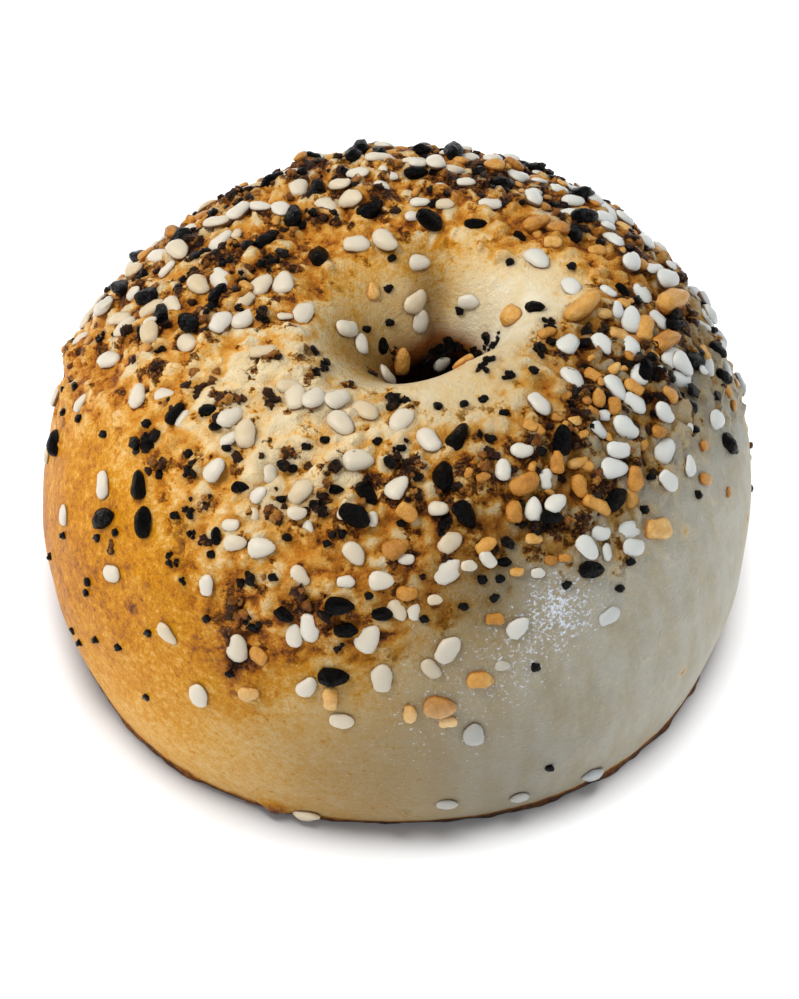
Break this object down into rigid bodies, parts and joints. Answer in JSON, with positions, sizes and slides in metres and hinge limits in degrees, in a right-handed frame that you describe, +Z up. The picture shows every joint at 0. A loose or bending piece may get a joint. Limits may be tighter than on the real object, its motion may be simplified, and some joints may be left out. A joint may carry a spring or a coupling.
{
  "type": "bagel",
  "caption": "Puffy ring of baked dough with a nearly closed hole, its crown covered in seeds and bits of toasted onion.",
  "frame": {"origin": "middle of the outline seen from above, on the surface that the flat underside rests on", "axes": "+Z up, out of the crown, along the ring's short dimension; -Y is the front, the side with the bare right flank to its right; +X right"},
  "size_m": [0.0894, 0.0894, 0.0506],
  "materials": {
    "crust": "matte",
    "white_sesame": "satin",
    "black_seed": "satin",
    "poppy_seed": "matte",
    "toasted_onion": "satin",
    "burnt_onion": "matte",
    "flour": "matte"
  },
  "bodies": {
    "root": {"bagel": "crust"}
  },
  "joints": []
}
